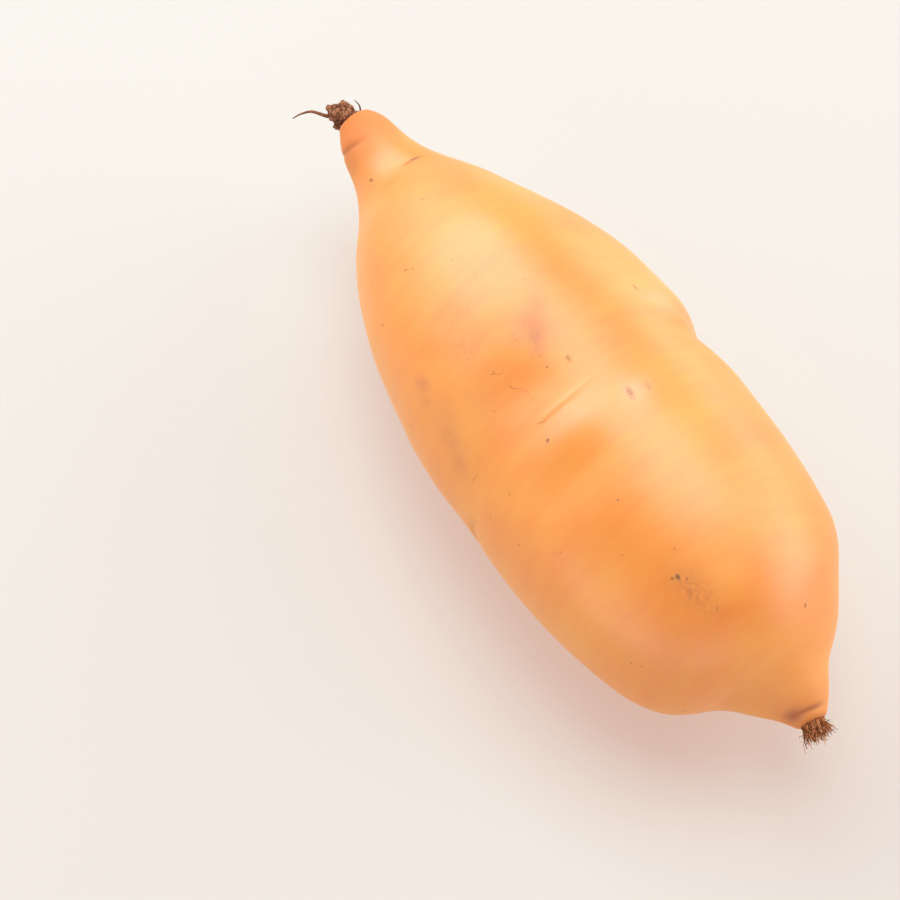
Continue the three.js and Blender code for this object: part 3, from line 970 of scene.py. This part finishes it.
@dataclass
class Tuber:
    """The storage root's skin with its patches, creases and corky pores."""

    finish: SkinFinish = SKIN
    row_step: float = 0.62
    fine_step: float = 0.35
    fine_stretches: tuple[Pair, ...] = ((-99, -87), (-1, 12.5), (71, 83))
    around: int = 256
    # length over which each end rounds off, and how much narrower it then is
    end_rounding: float = 0.8
    end_narrowing: float = 0.35
    # how far the redness of the stem end and of the tail end reaches, and how strong it is there
    end_red_reach: Pair = (10.0, 6.0)
    end_red_share: Pair = (1.0, 0.5)
    # size in mm of one bump, and its height in mm
    unevenness: tuple[Pair, ...] = ((24.0, 0.4), (10.0, 0.12), (5.0, 0.04))
    # the unevenness fades out below this height, towards the flat that the root rests on
    even_height: float = 1.5
    patches: tuple[Patch, ...] = (
        Patch(BRUISE, -10.8, 11.5, 3.8, 3.4, 0, 0.6), Patch(BRUISE, -8.8, 13, 2.4, 2.0, 0, 0.76),
        Patch(BRUISE, -14.5, 6, 2.6, 1.8, 30, 0.35), Patch(STAIN, -19.2, 62, 3.0, 2.0, -30, 0.5),
        Patch(STAIN, -15.8, 65.5, 3.4, 1.8, -20, 0.25), Patch(STAIN, -8.5, 62, 6.0, 5.0, 15, 0.28),
        Patch(STAIN, -6.0, 64.5, 4.2, 3.6, 25, 0.42), Patch(STAIN, -1.8, 69, 4.6, 2.8, 30, 0.34),
        Patch(STAIN, -4, 44, 8, 6, 0, 0.16), Patch(STAIN, 50, 24, 5, 4, 0, 0.15),
        Patch(SCURF, -16, 36, 5.0, 4.0, 0, 0.4), Patch(SCURF, -24, 33, 6.0, 4.0, 20, 0.2),
        Patch(SCURF, -10.8, 19.5, 1.8, 1.4, 0, 0.4), Patch(SCURF, -5.6, 15.5, 1.8, 1.4, 0, 0.5),
        Patch(SCURF, 51, 25, 4.6, 3.2, 0, 0.3), Patch(HALO, 13, -4, 3.4, 3.4, 0, 0.6),
        # the halo at 11.5 mm is a painted highlight where the bulge behind the waist catches the light
        # the two crease patches are painted shade in the folds by the tail end and by the neck
        Patch(HALO, 11.5, 22, 2.6, 8, 0, 0.3), Patch(CREASE, 80.2, 52, 1.4, 2.6, 0, 0.9),
        # the halos at -7 and -14 mm are painted reflection of light along the right side of the stem
        # half
        Patch(CREASE, -92.4, 66, 0.9, 2.4, 0, 0.4), Patch(HALO, -7, -43, 4.0, 6, 0, 0.4),
        Patch(HALO, -14, -64, 11, 7, 0, 0.5),
    )
    # patches of the far side, and the spans that their values are drawn from, in the order of Patch
    hidden_patches: int = 9
    hidden_seed: int = 23
    hidden_spans: tuple[Pair, ...] = (
        (-80, 66), (125, 270), (2, 6), (1, 3.5), (-60, 60), (0.3, 0.6))
    # dots and dashes where the photo shows them
    marks: tuple[Mark, ...] = (
        Mark(-79, -12, 0.9, 3.8, 0, 0.75), Mark(-82, 47, 2.1, 1.1, -30, 0.75),
        Mark(-58, 13, 0.7, 0.6, 0, 0.7), Mark(-36, 20, 0.6, 0.5, 0, 0.5),
        Mark(-29, 17, 0.6, 0.5, 0, 0.35), Mark(-40, 66, 0.8, 0.6, 0, 0.7),
        Mark(-2, 16, 0.7, 0.6, 0, 0.6), Mark(11, 32, 1.1, 0.9, 50, 0.75),
        Mark(13, 58, 0.6, 0.5, 0, 0.5), Mark(30, 55, 0.5, 0.5, 0, 0.4),
        Mark(12, 74, 0.6, 0.4, 0, 0.6), Mark(13.6, 73, 0.5, 0.4, 0, 0.5),
        Mark(22, 69, 0.6, 0.5, 0, 0.6), Mark(30, 25, 0.7, 0.5, 0, 0.6),
        Mark(43, 20, 0.6, 0.5, 0, 0.5), Mark(64, -15, 1.2, 0.7, 20, 0.75),
        Mark(52, 68, 0.6, 0.5, 0, 0.6), Mark(53.5, 66, 0.6, 0.4, 0, 0.5),
        Mark(64, 90, 1.6, 0.6, 0, 0.6), Mark(-21, 4, 0.7, 0.5, 0, 0.35),
        Mark(-43, 39, 1.6, 0.5, -60, 0.65), Mark(-41.8, 36, 1.2, 0.5, -60, 0.5),
        Mark(-1, 8, 2.1, 1.1, 0, 0.42), Mark(13, -2, 3.0, 1.4, 5, 0.5),
        Mark(14, -9, 3.0, 1.4, 10, 0.25), Mark(-11, -34, 2.2, 1.0, -10, 0.5),
        Mark(47, 26, 1.5, 1.0, 15, 0.95), Mark(46.6, 28, 0.8, 0.7, 0, 0.8),
        Mark(48.2, 24, 1.2, 0.4, 60, 0.6), Mark(55, 23, 1.6, 0.35, 40, 0.4),
        Mark(-8, 33, 0.9, 0.4, 30, 0.45),
    )
    # the dome is this much longer than its mark, because its colour fades out at the rim
    mark_growth: float = 1.35
    random_seed: int = 7
    dome_height: float = 0.03
    dome_sink: float = 0.015
    dome_segments: int = 14
    dome_rings: int = 8
    # Pores drawn at random. One in six is small and lies on the side that shows, and the others
    # lie on the far side and below.
    random_marks: int = 95
    seen_every: int = 6
    seen_around: Pair = (-60, 95)
    seen_size: Pair = (0.4, 0.7)
    seen_depth: Pair = (0.15, 0.35)
    hidden_around: Pair = (108, 285)
    hidden_sizes: tuple[float, ...] = (0.5, 0.7, 1.0, 1.6)
    hidden_depth: Pair = (0.15, 0.75)
    random_along: Pair = (-86, 74)
    random_length: Pair = (1, 1.6)
    random_width: float = 0.7
    random_turn: Pair = (-80, 80)
    # fine cracks of the skin: half width in mm, depth of colour and points on the skin
    crack_lines: tuple[tuple[float, float, tuple[Pair, ...]], ...] = (
        (0.09, 0.55, ((-8.1, 34.5), (-7.4, 32.4), (-6.6, 31), (-7.3, 29), (-7.1, 27))),
        (0.09, 0.6, ((-3.9, 31.5), (-2.9, 30.5), (-2.2, 28.5), (-1.1, 28.2), (-0.2, 27))),
        (0.07, 0.5, ((-0.2, 27), (1.4, 27.3), (2.7, 26.5))),
        (0.07, 0.45, ((-9.6, 47), (-8.7, 46), (-7.9, 44))),
        (0.1, 0.55, ((6.6, 31), (7.2, 28.5), (7.0, 26))),
        (0.09, 0.55, ((3.5, 70), (3.6, 67.5), (4, 65))),
        (0.08, 0.6, ((-18.4, 84), (-17, 84.3), (-16, 83.5))),
        (0.07, 0.7, ((47.2, 25.5), (48.2, 27), (49.8, 26), (51.5, 25.5), (53.2, 26))),
        (0.06, 0.6, ((49, 24.5), (49.8, 22.6), (51.4, 21.6), (53, 19))),
        (0.06, 0.6, ((50, 26), (51, 28.4), (51.4, 30.5))),
        (0.08, 0.7, ((-78.8, 6), (-78.9, -2), (-78.6, -7))),
    )
    crack_step: float = 0.35
    crack_points: int = 4
    crack_style: StrandStyle = StrandStyle(5, 0.0, 1.0)
    crack_tip: float = 0.3
    # how far the points of a crack wander, in mm along and degrees round
    crack_wander: Pair = (0.12, 0.204)

    def rows(self) -> Array:
        """Places the rows of the skin, closer together where it folds.

        Returns:
            Places along the root in mm.
        """
        places = [FORM.stem_end]
        while places[-1] < FORM.tail_end:
            fine = any(low <= places[-1] < high for low, high in self.fine_stretches)
            places.append(places[-1] + (self.fine_step if fine else self.row_step))
        places[-1] = FORM.tail_end
        return np.array(places)

    def shades(self, along: Array, around: Array) -> dict[str, Array]:
        """Works out the masks that the skin's finish reads.

        Args:
            along: places along the root in mm.
            around: degrees round it.

        Returns:
            Values from 0 to 1 by attribute name.
        """
        masks = {kind.value: np.zeros(along.shape) for kind in WeatheringAndPaintedLight}
        radius = FORM.column(3, along)
        random = np.random.default_rng(self.hidden_seed)
        hidden = [
            Patch(SCURF if i % 3 else BRUISE, *(random.uniform(*span) for span in self.hidden_spans))
            for i in range(self.hidden_patches)
        ]
        for patch in (*self.patches, *hidden):
            x = along - patch.along
            y = np.radians(turn_between(patch.around, around)) * radius
            cosine, sine = math.cos(math.radians(patch.turn)), math.sin(math.radians(patch.turn))
            far = ((x * cosine + y * sine) / patch.length) ** 2
            far += ((y * cosine - x * sine) / patch.width) ** 2
            mask = masks[patch.kind.value]
            np.maximum(mask, patch.strength * np.exp(-far), out=mask)
        # painted shade along the folds, darkest on their middle lines
        crease = masks[CREASE.value]
        for fold in FORM.folds:
            near = FORM.fold_nearness(fold, along, around)
            np.maximum(crease, fold.shade * near ** 2, out=crease)
        from_end = (along - FORM.stem_end, FORM.tail_end - along)
        red = [share * np.exp(-(off / reach) ** 2)
               for off, reach, share in zip(from_end, self.end_red_reach, self.end_red_share)]
        masks["end"] = np.maximum(*red)
        return masks

    def build(self) -> list[Object]:
        """Builds the skin, its pores and its cracks.

        Returns:
            The pieces, the first of which stands for the CAD tuber.
        """
        rows = self.rows()
        degrees = np.arange(self.around) * 360 / self.around
        along, around = np.meshgrid(rows, degrees, indexing="ij")
        points, out = FORM.points(along, around)
        skin = loft("tuber_skin", self.round_ends(self.uneven(points, out), rows))
        for name, mask in self.shades(along, around).items():
            set_attribute(skin, name, np.append(mask.ravel(), (mask[0, 0], mask[-1, 0])))
        material = self.finish.material()
        skin.data.materials.append(material)
        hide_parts("tuber")
        return [skin, self.pores(material), self.cracks(material)]

    def uneven(self, points: Array, out: Array) -> Array:
        """Adds the low unevenness that every root has, but not on the flat that it rests on.

        Args:
            points: the skin's points in mm.
            out: unit vectors outwards.

        Returns:
            The moved points.
        """
        rise = rough_field(points, self.unevenness)
        rise *= np.clip(points[..., 2] / self.even_height, 0, 1)
        moved = points + rise[..., None] * out
        moved[..., 2] = np.maximum(moved[..., 2], 0)
        return moved

    def round_ends(self, points: Array, rows: Array) -> Array:
        """Rounds the rim of both ends of the root.

        Args:
            points: the rings of the skin in mm.
            rows: the rings' places along the root in mm.

        Returns:
            The rings, drawn in towards their centres beside the ends.
        """
        off = np.minimum(rows - rows[0], rows[-1] - rows)
        share = np.clip(1 - off / self.end_rounding, 0, 1)
        scale = 1 - self.end_narrowing * share ** 2
        centre = points.mean(1, keepdims=True)
        return centre + (points - centre) * scale[:, None, None]

    def scattered(self) -> list[Mark]:
        """Draws the pores that no picture shows, most of them on the far side of the root.

        Returns:
            The pores.
        """
        random = np.random.default_rng(self.random_seed)
        drawn = []
        for i in range(self.random_marks):
            seen = i % self.seen_every == 0
            around = random.uniform(*(self.seen_around if seen else self.hidden_around))
            size = random.uniform(*self.seen_size) if seen else random.choice(self.hidden_sizes)
            drawn.append(Mark(random.uniform(*self.random_along), around,
                              size * random.uniform(*self.random_length), size * self.random_width,
                              random.uniform(*self.random_turn),
                              random.uniform(*(self.seen_depth if seen else self.hidden_depth))))
        return drawn

    def pores(self, material: Material) -> Object:
        """Sets the corky pores on the skin.

        Args:
            material: the skin's material, which darkens where `mark` is high.

        Returns:
            The pores as one mesh.
        """
        marks = [*self.marks, *self.scattered()]
        along = np.array([mark.along for mark in marks], float)
        around = np.array([mark.around for mark in marks], float)
        points, out = FORM.points(along, around)
        ahead = FORM.points(along + FORM.spine_step, around)[0] - points
        ahead /= np.linalg.norm(ahead, axis=1, keepdims=True)
        sideways = FORM.points(along, around + 1)[0] - points
        sideways /= np.linalg.norm(sideways, axis=1, keepdims=True)
        outward = np.cross(sideways, ahead)
        outward *= np.sign((outward * out).sum(1))[:, None]
        turn = np.radians([mark.turn for mark in marks])[:, None]
        heading = np.cos(turn) * ahead + np.sin(turn) * sideways
        grown = self.mark_growth / 2
        size = np.array([(mark.length * grown, mark.width * grown, self.dome_height)
                         for mark in marks])
        raised = points[:, 2] > self.even_height
        sunk = self.uneven(points, out) - self.dome_sink * outward
        piece = mesh_object("skin_pores", sunk[raised])
        details = {"outward": outward, "heading": heading, "size": size * MM,
                   "depth": np.array([mark.depth for mark in marks]), **self.shades(along, around)}
        for name, values in details.items():
            set_attribute(piece, name, values[raised])
        return pore_recipe().apply(piece, {"Segments": self.dome_segments, "Rings": self.dome_rings,
                                           "Material": material})

    def cracks(self, material: Material) -> Object:
        """Lays the fine cracks as thin threads sunk half into the skin.

        Args:
            material: the skin's material.

        Returns:
            The cracks as one mesh.
        """
        random = np.random.default_rng(self.random_seed)
        strands = []
        for thick, depth, corners in self.crack_lines:
            count = int(math.dist(corners[0], corners[-1]) / self.crack_step)
            places = smooth_line(np.array(corners), max(self.crack_points, count))
            places += random.standard_normal(places.shape) * self.crack_wander
            line = self.uneven(*FORM.points(places[:, 0], places[:, 1]))
            strands.append(Strand(line, thick, thick * self.crack_tip, depth))
        # the cracks' own brown is stored in the same attribute as the painted shade of the folds
        return strand_object("skin_cracks", strands, self.crack_style, material, "crease")


@dataclass
class VineStub:
    """The corky stub that the vine left on the stem end, with its rootlet and hair."""

    finish: DryTissueFinish = CORK
    sink: float = 0.8
    length: float = 4.0
    radius: float = 2.3
    # how far the tip leans over, in mm
    lean: Triple = (-1.1, -2.0, 0.1)
    # The core's radius, as a share: at its foot, added by the bulge, and lost towards the tip. The
    # bulge ends before the tip does, by this factor.
    foot: float = 0.88
    bulge: float = 0.42
    bulge_speed: float = 1.15
    tip_loss: float = 0.1
    # the tip closes from this share of the length on, over the root of the second number
    tip_start: float = 0.72
    tip_closing: float = 0.085
    tip_least: float = 0.02
    around: int = 72
    rows: int = 40
    roughness_mm: tuple[Pair, ...] = ((2.2, 0.9), (0.9, 0.5), (0.4, 0.22))
    # the lumps reach their full height after one part in six, and lean back towards the root
    rough_speed: float = 6
    rough_lean: float = 0.5
    # tone of the core, how much lighter a lump of 1 mm is, and tone in the middle of its two caps
    tone: float = 0.5
    tone_per_mm: float = 0.6
    cap_tone: float = 0.4
    # crumbs in a square metre, and their smallest and largest radius in mm
    crumb_density: float = 2.2e6
    crumb_mm: Pair = (0.22, 0.7)
    crumb_seed: int = 4
    # corners of the strands, in mm from the stem end, and the points that each is drawn with
    rootlet: Strand = Strand((
        (-2.2, -2.4, 0.2), (-3.6, -4.4, 0.5), (-6.2, -6.8, 1.0), (-7.4, -9.2, 0.6), (-7.7, -11.3, 0.0),
    ), 0.62, 0.12, 0.45)
    hair: Strand = Strand(((0.2, 2.9, 0.3), (-1.1, 3.4, 1.6), (-2.6, 3.0, 2.5)), 0.3, 0.08, 0.2)
    strand_points: tuple[int, int] = (24, 14)
    strand_style: StrandStyle = StrandStyle(10, 0.5, 2.5)

    def build(self) -> list[Object]:
        """Builds the core, its crumbs and its two strands.

        Returns:
            The pieces, the first of which stands for the CAD stub.
        """
        end = EndAxes.at(FORM.stem_end)
        material = self.finish.material()
        core = self.core(end)
        core.data.materials.append(material)
        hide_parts("stem_stub")
        crumbs = bpy.data.objects.new("stub_crumbs", core.data.copy())
        bpy.context.scene.collection.objects.link(crumbs)
        smallest, largest = self.crumb_mm
        crumb_recipe().apply(crumbs, {
            "Density": self.crumb_density, "Smallest": smallest * MM, "Largest": largest * MM,
            "Seed": self.crumb_seed, "Material": material,
        })
        strands = strand_object("stub_rootlets", [
            replace(strand, line=smooth_line(np.array(strand.line) + end.centre, count))
            for strand, count in zip((self.rootlet, self.hair), self.strand_points)
        ], self.strand_style, material)
        return [core, crumbs, strands]

    def core(self, end: EndAxes) -> Object:
        """Lofts the rough core of the stub.

        Args:
            end: the root's stem end.

        Returns:
            The core's object.
        """
        share = np.linspace(0, 1, self.rows)[:, None]
        out = end.outwards(-np.linspace(0, 2 * np.pi, self.around, endpoint=False)[None])
        flare = self.foot + self.bulge * np.sin(np.pi * np.minimum(share * self.bulge_speed, 1))
        closing = 1 - (share - self.tip_start).clip(0) ** 2 / self.tip_closing
        closing = np.sqrt(np.clip(closing, self.tip_least, 1))
        radius = self.radius * (flare - self.tip_loss * share) * closing
        run = -self.sink + (self.length + self.sink) * share
        spine = end.centre - run[..., None] * end.ahead + share[..., None] * np.array(self.lean)
        points = spine + radius[..., None] * out
        rise = rough_field(points, self.roughness_mm) * np.clip(share * self.rough_speed, 0, 1)
        lean = out - self.rough_lean * share[..., None] * end.ahead
        made = loft("vine_stub", points + rise[..., None] * lean)
        tone = np.append((self.tone + self.tone_per_mm * rise).ravel(), [self.cap_tone] * 2)
        set_attribute(made, "tone", np.clip(tone, 0, 1))
        return made


@dataclass
class RootTuft:
    """The frayed feeding root on the tail end: a short core and a brush of dry fibres."""

    finish: DryTissueFinish = FIBRE
    sink: float = 0.6
    length: float = 2.6
    radius: float = 2.85
    far_radius: float = 1.9
    around: int = 48
    rows: int = 14
    # height in mm, number round the core and twist in radians of each set of ribs
    ribs: tuple[tuple[float, int, float], ...] = ((0.18, 11, 2), (0.1, 17, 0))
    # the ribs reach their full height after a quarter of the length
    rib_speed: float = 4
    core_tone: float = 0.35
    fibres: int = 420
    seed: int = 5
    shortest: float = 2.0
    longest: float = 2.8
    # the fibres start this far along the core, and this far inside its rim
    start: float = 0.2
    inset: float = 0.25
    # degrees that the outer fibres lean outwards, and the share of it that one fibre takes
    fan: float = 12.0
    fan_share: Pair = (0.3, 1.3)
    # radians by which a fibre strays from its even turn
    turn_spread: float = 0.5
    # radius at the base, the share of it that one fibre takes, and what is left of it at the tip
    thick: float = 0.14
    thick_share: Pair = (0.55, 1.25)
    tip_share: float = 0.35
    # how far a fibre bends at each of its points
    crook: float = 0.26
    steps: int = 9
    # stray fibres stand on the rim: more tilted, longer and thinner than the others
    strays: int = 4
    stray_tilt: float = 22
    stray_length: float = 1.05
    stray_thick: float = 0.5
    fibre_style: StrandStyle = StrandStyle(5, 0.8, 0.9)

    def build(self) -> list[Object]:
        """Builds the core and the fibres.

        Returns:
            The pieces, the first of which stands for the CAD tuft.
        """
        end = EndAxes.at(FORM.tail_end)
        material = self.finish.material()
        core = self.core(end)
        core.data.materials.append(material)
        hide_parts("root_tuft")
        return [core, strand_object("root_fibres", self.brush(end), self.fibre_style, material)]

    def core(self, end: EndAxes) -> Object:
        """Lofts the ribbed core that the fibres fray from.

        Args:
            end: the root's tail end.

        Returns:
            The core's object.
        """
        share = np.linspace(0, 1, self.rows)[:, None]
        angle = np.linspace(0, 2 * np.pi, self.around, endpoint=False)[None]
        ribs = sum(height * np.cos(count * angle + twist * share)
                   for height, count, twist in self.ribs)
        radius = self.radius + (self.far_radius - self.radius) * share
        radius = radius + ribs * np.clip(share * self.rib_speed, 0, 1)
        run = -self.sink + (self.length + self.sink) * share
        spine = end.centre + run[..., None] * end.ahead
        made = loft("root_core", spine + radius[..., None] * end.outwards(angle))
        set_attribute(made, "tone", np.full(len(made.data.vertices), self.core_tone))
        return made

    def brush(self, end: EndAxes) -> list[Strand]:
        """Draws the fibres.

        Args:
            end: the root's tail end.

        Returns:
            The fibres, with the strays last.
        """
        random = np.random.default_rng(self.seed)
        drawn = []
        for i in range(self.fibres + self.strays):
            stray = i >= self.fibres
            share = 1.0 if stray else math.sqrt((i + 0.5) / self.fibres)
            out = end.outwards(i * EVEN_TURN + random.uniform(0, self.turn_spread))
            tilt = share * self.fan * random.uniform(*self.fan_share) + self.stray_tilt * stray
            aim = math.cos(math.radians(tilt)) * end.ahead + math.sin(math.radians(tilt)) * out
            length = random.uniform(self.shortest, self.longest) * (self.stray_length if stray else 1)
            start = end.centre + self.start * end.ahead + share * (self.radius - self.inset) * out
            step = np.linspace(0, 1, self.steps)[:, None]
            crook = np.cumsum(random.normal(0, self.crook, (self.steps, 3)), axis=0)
            line = start + step * length * aim + step * crook
            thick = self.thick * random.uniform(*self.thick_share) * (self.stray_thick if stray else 1)
            drawn.append(Strand(line, thick, thick * self.tip_share, random.uniform(0, 1)))
        return drawn


@dataclass(frozen=True)
class SoftLight:
    """A square soft box: where it stands from the object, in metres, and its power."""

    name: str
    place: Triple
    size: float
    power: float


@dataclass
class Studio:
    """A pale floor, soft light and the camera at the picture's viewing angle."""

    azimuth: float = 57.0
    elevation: float = 60.0
    distance: float = 0.555
    lens: float = 100.0
    sensor: float = 36.0
    target: Triple = (-0.0115, -0.0280, 0.0297)
    floor_size: float = 6.0
    # the floor is a translucent sheet that glows a little from below
    floor_colour: str = "#8aa2a1"
    floor_glow: str = "#c0988c"
    floor_glow_strength: float = 1.0
    floor_roughness: float = 0.95
    sky_colour: str = "#ffffff"
    sky_strength: float = 0.15
    lights: tuple[SoftLight, ...] = (
        SoftLight("key_light", (-0.12, 0.22, 1.08), 0.8, 7.5),
        SoftLight("stem_light", (-0.88, 0.0, 0.66), 0.9, 10.5),
        SoftLight("right_light", (0.35, 0.9, 0.55), 0.9, 5.2),
        SoftLight("left_light", (-0.75, -0.65, 0.5), 0.6, 2.5),
        SoftLight("low_left_light", (0.2, -1.08, 0.12), 0.9, 5.0),
        SoftLight("low_tail_light", (0.98, -0.5, 0.14), 0.9, 4.0),
        SoftLight("low_back_light", (-0.4, 1.02, 0.12), 0.8, 5.0),
        SoftLight("low_right_light", (0.75, 0.8, 0.12), 1.0, 6.0),
    )

    def build(self) -> None:
        """Builds the floor, the sky, the lights and the camera."""
        self.floor()
        self.sky()
        for light in self.lights:
            self.lamp(light)
        self.camera()

    def floor(self) -> None:
        """Lays the floor that the root rests on."""
        half = self.floor_size / 2 / MM
        corners = np.array([(-half, -half, 0), (half, -half, 0), (half, half, 0), (-half, half, 0)])
        made = mesh_object("studio_floor", corners, [(0, 1, 2, 3)])
        made.data.materials.append(Shader("translucent_sheet").finish({
            "Base Color": linear(self.floor_colour), "Roughness": self.floor_roughness,
            "Specular IOR Level": 0.0, "Emission Color": linear(self.floor_glow),
            "Emission Strength": self.floor_glow_strength,
        }, {}))

    def sky(self) -> None:
        """Fills the room with even soft light."""
        world = bpy.data.worlds.new("soft_room")
        world.use_nodes = True
        shader = world.node_tree.nodes["Background"]
        shader.inputs["Color"].default_value = linear(self.sky_colour)
        shader.inputs["Strength"].default_value = self.sky_strength
        bpy.context.scene.world = world
        view = bpy.context.scene.view_settings
        view.view_transform = "Standard"
        view.look = "None"

    def lamp(self, light: SoftLight) -> None:
        """Adds one soft box that looks at the object.

        Args:
            light: the soft box.
        """
        data = bpy.data.lights.new(light.name, "AREA")
        data.shape = "SQUARE"
        data.size = light.size
        data.energy = light.power
        lamp = bpy.data.objects.new(light.name, data)
        lamp.location = light.place
        lamp.rotation_euler = (Vector(self.target) - lamp.location).to_track_quat("-Z", "Y").to_euler()
        bpy.context.scene.collection.objects.link(lamp)

    def camera(self) -> None:
        """Sets the camera at the picture's viewing angle."""
        turn, tilt = math.radians(self.azimuth), math.radians(self.elevation)
        level = math.cos(tilt)
        back = Vector((math.sin(turn) * level, -math.cos(turn) * level, math.sin(tilt)))
        data = bpy.data.cameras.new("camera")
        data.lens = self.lens
        data.sensor_width = self.sensor
        camera = bpy.data.objects.new("camera", data)
        camera.location = Vector(self.target) + back * self.distance
        camera.rotation_euler = (-back).to_track_quat("-Z", "Y").to_euler()
        bpy.context.scene.collection.objects.link(camera)
        bpy.context.scene.camera = camera


def main() -> None:
    """Builds the studio and the three sub-assemblies, and reports each piece."""
    logging.basicConfig(level=logging.INFO, format="%(message)s")
    Studio().build()
    for assembly in (Tuber(), VineStub(), RootTuft()):
        for piece in assembly.build():
            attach(piece, BODY)
            LOG.info("%s: %d faces", piece.name, len(piece.data.polygons))


if __name__ == "__main__":
    main()
